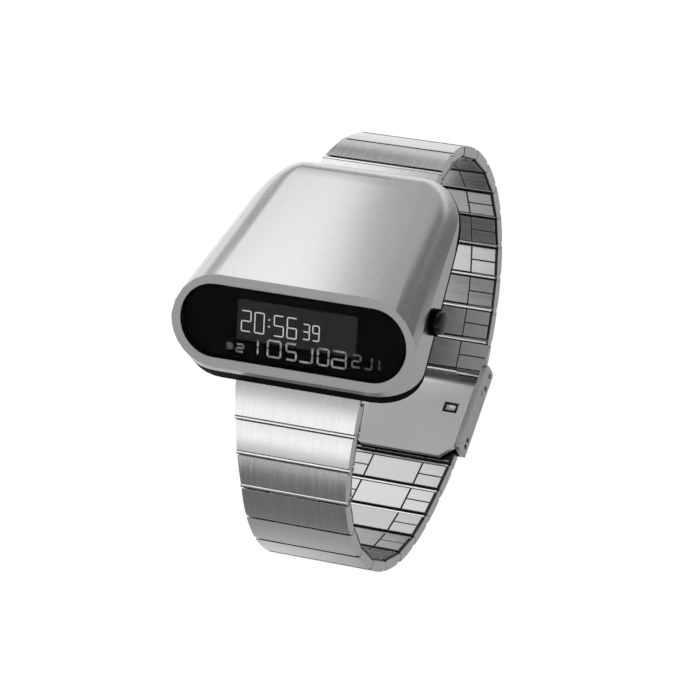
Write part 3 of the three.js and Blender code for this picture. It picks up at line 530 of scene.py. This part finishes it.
def softened(node, material, width, segments=2, angle=32):
    obj = mesh_object("dressed_" + node, merged_copy(node))
    smooth(obj, angle)
    bevelled(obj, width, segments, angle)
    seated(obj, node, material)
    return obj


def finished_in_place(node, material):
    slots = frame["nodes"][node].data.materials
    slots.clear()
    slots.append(material)


# Bracelet links, with folded sheets on their inner side and rolled beads in the gaps between them


def hinge_places(chain, last):
    places = []
    for joint in frame["joints"]:
        if joint["name"].startswith(chain + "_hinge_") and "pos_m" in joint:
            places.append((int(joint["name"].rsplit("_", 1)[1]), Vector(joint["pos_m"])))
    return [place for number, place in sorted(places)][:last]


# The side of a link that faces away from the ring's middle
def outward_of(start, forward):
    outward = Vector((1, 0, 0)).cross(forward)
    return outward if (start - ring_centre).dot(outward) > 0 else -outward


def along_link(obj, start, forward):
    outward = outward_of(start, forward)
    layer = obj.data.attributes.new("along_link", "FLOAT_VECTOR", "POINT")
    for vertex, entry in zip(obj.data.vertices, layer.data):
        reach = vertex.co - start
        entry.vector = (vertex.co.x, reach.dot(forward), reach.dot(outward))


# Each link's name, pin and direction; a chain's last link may have no pin beyond it to aim at
def link_frames():
    for chain, count in (("front", 13), ("rear", 12)):
        pins = hinge_places(chain, count + 1)
        for number in range(1, count + 1):
            start = pins[number - 1]
            if number < len(pins):
                forward = (pins[number] - start).normalized()
            yield f"{chain}_link_{number}", start, forward


def link(node, start, forward):
    obj = mesh_object("dressed_" + node, merged_copy(node))
    smooth(obj)
    along_link(obj, start, forward)
    bevelled(obj, link_edge)
    seated(obj, node, link_steel)


# A frame with its origin on a link's pin, its second axis along the link and its third outwards
def link_matrix(start, forward):
    outward = outward_of(start, forward)
    turn = Matrix((forward.cross(outward), forward, outward)).transposed()
    return Matrix.Translation(start) @ turn.to_4x4()


def half_width(node):
    low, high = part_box(node)
    return min(abs(low[0]), abs(high[0])) / MM


def thin_plate(bm, place, lows, highs):
    middle = (Vector(lows) + Vector(highs)) / 2 * MM
    size = (Vector(highs) - Vector(lows)) * MM
    matrix = place @ Matrix.Translation(middle) @ Matrix.Diagonal((*size, 1))
    bmesh.ops.create_cube(bm, size=1, matrix=matrix)


def inner_sheets(node, start, forward, half):
    bm = bmesh.new()
    place = link_matrix(start, forward)
    near, far = sheet_ends
    low, high = sheet_heights
    middle = link_pitch / 2
    thin_plate(bm, place, (-centre_sheet, near, low), (centre_sheet, far, high))
    for left, right in ((-half, -flap_start), (flap_start, half)):
        thin_plate(bm, place, (left, near, low), (right, middle - sheet_seam, high))
        thin_plate(bm, place, (left, middle + sheet_seam, low), (right, far, high))
    obj = mesh_object("sheets_" + node, bm)
    smooth(obj)
    along_link(obj, start, forward)
    bevelled(obj, sheet_edge)
    obj.data.materials.append(shaded_sheet_steel)
    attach(obj, frame["nodes"][node]["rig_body"])


# A thin cap of a cylinder round the pin beyond a link, on the outer side (1) or the inner side (-1)
def bead(name, node, pin, forward, half, side):
    bm = bmesh.new()
    upright = Matrix.Rotation(math.pi / 2, 4, "Y")
    bmesh.ops.create_cone(
        bm, cap_ends=True, segments=32, radius1=bead_radius * MM, radius2=bead_radius * MM,
        depth=half * 2 * MM, matrix=link_matrix(pin, forward) @ upright,
    )
    outward = outward_of(pin, forward) * side
    cut = bmesh.ops.bisect_plane(
        bm, geom=bm.verts[:] + bm.edges[:] + bm.faces[:], plane_co=pin + outward * bead_cut * MM,
        plane_no=outward, clear_inner=True,
    )
    edges = [item for item in cut["geom_cut"] if isinstance(item, bmesh.types.BMEdge)]
    bmesh.ops.edgeloop_fill(bm, edges=edges)
    bmesh.ops.recalc_face_normals(bm, faces=bm.faces)
    obj = mesh_object(name + node, bm)
    smooth(obj)
    along_link(obj, pin, forward)
    obj.data.materials.append(bead_steel)
    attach(obj, frame["nodes"][node]["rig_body"])


for node, start, forward in link_frames():
    half = half_width(node) - edge_gap
    link(node, start, forward)
    inner_sheets(node, start, forward, half)
    if node not in last_links:
        pin = start + forward * link_pitch * MM
        bead("outer_bead_", node, pin, forward, half, 1)
        bead("inner_bead_", node, pin, forward, half, -1)


# Case, glass and button


# The case's shell, whose second slot is the rim round the glass, in a darker copy of the steel that is
# painted shade
def dressed_shell():
    obj = softened("case_shell", case_steel, 0.16, 3)
    obj.data.materials.append(shaded_rim_steel)
    out = on_face(0, 0, 1) - on_face(0, 0, 0)
    out.normalize()
    for polygon in obj.data.polygons:
        ahead = (polygon.center - face_centre).dot(out)
        if polygon.normal.dot(out) > rim_facing and ahead > rim_depth:
            polygon.material_index = 1


dressed_shell()
softened("case_base", black_coat, 0.12)
softened("back_cover", clasp_steel, 0.15)
softened("button_collar", black_coat, 0.1)
softened("side_button", black_polish, 0.3, 4)
finished_in_place("front_glass", clear_glass)
finished_in_place("display_mask", black_print)
finished_in_place("glass_gasket", black_rubber)
finished_in_place("lcd_panel", glowing_panel)
finished_in_place("backlight", white_plastic)
finished_in_place("module_frame", white_plastic)
finished_in_place("circuit_board", green_board)
finished_in_place("clock_chip", black_print)
finished_in_place("display_connector", black_rubber)
finished_in_place("button_retainer", pin_steel)
finished_in_place("button_spring", pin_steel)
softened("coin_battery", nickel, 0.12)
softened("battery_clip", pin_steel, 0.04)
for number in range(1, 5):
    softened(f"cover_screw_{number}", nickel, 0.08)
for bar in ("front_lug_bar", "rear_lug_bar"):
    softened(bar, pin_steel, 0.08)


# Clasp

softened("clasp_cover", clasp_steel, 0.12, 3)
softened("clasp_plate", lit_plate_steel, 0.1, 3)
softened("clasp_catch", pin_steel, 0.05)
softened("clasp_hinge_pin", pin_steel, 0.06)


# Display


def bar(bm, ends, broad, depth):
    left, low, right, high = ends
    half = broad / 2
    if right - left > high - low:
        outline = [
            (left, low), (left + half, low - half), (right - half, low - half),
            (right, low), (right - half, low + half), (left + half, low + half),
        ]
    else:
        outline = [
            (left, low), (left + half, low + half), (left + half, high - half),
            (left, high), (left - half, high - half), (left - half, low + half),
        ]
    add_plate(bm, outline, depth)


def add_plate(bm, outline, depth):
    face = bm.faces.new([bm.verts.new(on_face(u, v, stroke_height - depth)) for u, v in outline])
    made = bmesh.ops.extrude_face_region(bm, geom=[face])
    drop = on_face(0, 0, 0) - on_face(0, 0, stroke_height)
    verts = [item for item in made["geom"] if isinstance(item, bmesh.types.BMVert)]
    bmesh.ops.translate(bm, verts=verts, vec=drop)


def digit(bm, sign, corner, width, high, broad, depth, flipped=False):
    left, low = corner
    gap = broad * bar_gap
    middle = (low + high) / 2
    right = left + width
    ends = {
        "a": (left + gap, high, right - gap, high),
        "b": (right, middle + gap, right, high - gap),
        "c": (right, low + gap, right, middle - gap),
        "d": (left + gap, low, right - gap, low),
        "e": (left, low + gap, left, middle - gap),
        "f": (left, middle + gap, left, high - gap),
        "g": (left + gap, middle, right - gap, middle),
    }
    turned = {"a": "d", "b": "c", "c": "b", "d": "a", "e": "f", "f": "e", "g": "g"}
    for name in digit_bars[sign]:
        bar(bm, ends[turned[name] if flipped else name], broad, depth)


def colon(bm, place, heights):
    half = stroke * colon_size
    for height in heights:
        add_plate(bm, [
            (place - half, height - half), (place + half, height - half),
            (place + half, height + half), (place - half, height + half),
        ], panel_depth / MM)


def display_piece(name, bm, material):
    bmesh.ops.recalc_face_normals(bm, faces=bm.faces)
    obj = mesh_object(name, bm)
    obj.data.materials.append(material)
    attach(obj, "case")


def time_digits():
    bm = bmesh.new()
    for sign, left in zip("2056", digit_lefts):
        digit(bm, sign, (left, digit_low), digit_width, digit_high, stroke, panel_depth / MM)
    for sign, left in zip("39", small_lefts):
        digit(bm, sign, (left, small_low), small_width, small_high, stroke, panel_depth / MM)
    colon(bm, colon_place, colon_heights)
    display_piece("time_digits", bm, glowing_digits)


# The mirrored digits are glowing plates: a painted reflection
def painted_reflected_digits():
    bm = bmesh.new()
    for sign, left, low, width, height in mirrored_row:
        digit(bm, sign, (left, low), width, low + height, mirrored_stroke, mirrored_depth, True)
    display_piece("painted_reflected_digits", bm, painted_reflection_digits)


time_digits()
painted_reflected_digits()


# Floor, light and camera


# White to the camera, and another brightness to all that it lights
def seen_or_lit(tree, lit):
    path = tree.nodes.new("ShaderNodeLightPath")
    mix = tree.nodes.new("ShaderNodeMix")
    tree.links.new(path.outputs["Is Camera Ray"], mix.inputs[0])
    mix.inputs[3].default_value = 1.0
    tree.links.new(lit, mix.inputs[2])
    return mix.outputs[0]


def floor():
    bm = bmesh.new()
    bmesh.ops.create_grid(bm, x_segments=1, y_segments=1, size=floor_size)
    obj = mesh_object("floor", bm)
    obj.location.z = -floor_drop
    material, tree, shader = base_material("pale floor")
    shader.inputs["Base Color"].default_value = (*grey(floor_tone), 1)
    shader.inputs["Roughness"].default_value = 0.9
    shader.inputs["Specular IOR Level"].default_value = 0.0
    shader.inputs["Emission Color"].default_value = WHITE
    place = place_socket(tree)
    reach = tree.nodes.new("ShaderNodeVectorMath")
    reach.operation = "LENGTH"
    tree.links.new(place, reach.inputs[0])
    behind = tree.nodes.new("ShaderNodeVectorMath")
    behind.operation = "DOT_PRODUCT"
    behind.inputs[1].default_value = rear_direction
    tree.links.new(place, behind.inputs[0])
    near = from_range(tree, reach.outputs["Value"], *near_glow)
    rear = from_range(tree, behind.outputs["Value"], *rear_glow)
    close = from_range(tree, reach.outputs["Value"], *under_glow)
    left_side = from_range(tree, axes_of(tree, place)["x"], *under_side)
    under = math_node(tree, "MULTIPLY", close, left_side)
    glow = math_node(tree, "ADD", math_node(tree, "ADD", near, rear), under)
    tree.links.new(seen_or_lit(tree, glow), shader.inputs["Emission Strength"])
    obj.data.materials.append(material)


def softbox(tree, axes, strength, fades):
    total = strength
    for axis, dark, full in fades:
        total = math_node(tree, "MULTIPLY", from_range(tree, axes[axis], dark, full), total)
    return total


def studio():
    world = bpy.data.worlds.new("studio")
    scene.world = world
    world.use_nodes = True
    tree = world.node_tree
    where = tree.nodes.new("ShaderNodeTexCoord").outputs["Generated"]
    axes = axes_of(tree, where)
    total = ambient
    for strength, fades in softboxes:
        total = math_node(tree, "ADD", softbox(tree, axes, strength, fades), total)
    background = tree.nodes["Background"]
    background.inputs["Color"].default_value = WHITE
    tree.links.new(seen_or_lit(tree, total), background.inputs["Strength"])


# A grey card beside the rear light, which shades the right of the case's top
def grey_card():
    mirrored = card_direction.normalized()
    across = (Vector((1, 0, 0)) - mirrored * mirrored.x).normalized()
    edge = card_corner + mirrored * card_distance
    turn = Matrix((across, mirrored.cross(across), mirrored)).transposed()
    bm = bmesh.new()
    bmesh.ops.create_grid(bm, x_segments=1, y_segments=1, size=card_size)
    obj = mesh_object("grey_card", bm)
    obj.matrix_world = Matrix.Translation(edge + across * card_size) @ turn.to_4x4()
    material = glowing(base_material("grey card")[0], card_glow, 0.0)
    shader_of(material).inputs["Base Color"].default_value = BLACK
    obj.data.materials.append(material)
    obj.visible_camera = False
    obj.visible_shadow = False
    obj.visible_diffuse = False


def camera():
    data = bpy.data.cameras.new("photo camera")
    data.lens = camera_lens
    data.sensor_width = 36
    data.clip_start, data.clip_end = 0.01, 20
    obj = linked(bpy.data.objects.new("photo camera", data))
    right = camera_right.normalized()
    back = (camera_back - right * camera_back.dot(right)).normalized()
    up = back.cross(right)
    turn = Matrix((right, up, back)).transposed()
    obj.matrix_world = Matrix.Translation(camera_place) @ turn.to_4x4()
    scene.camera = obj


scene.view_settings.view_transform = "Standard"
floor()
studio()
grey_card()
camera()
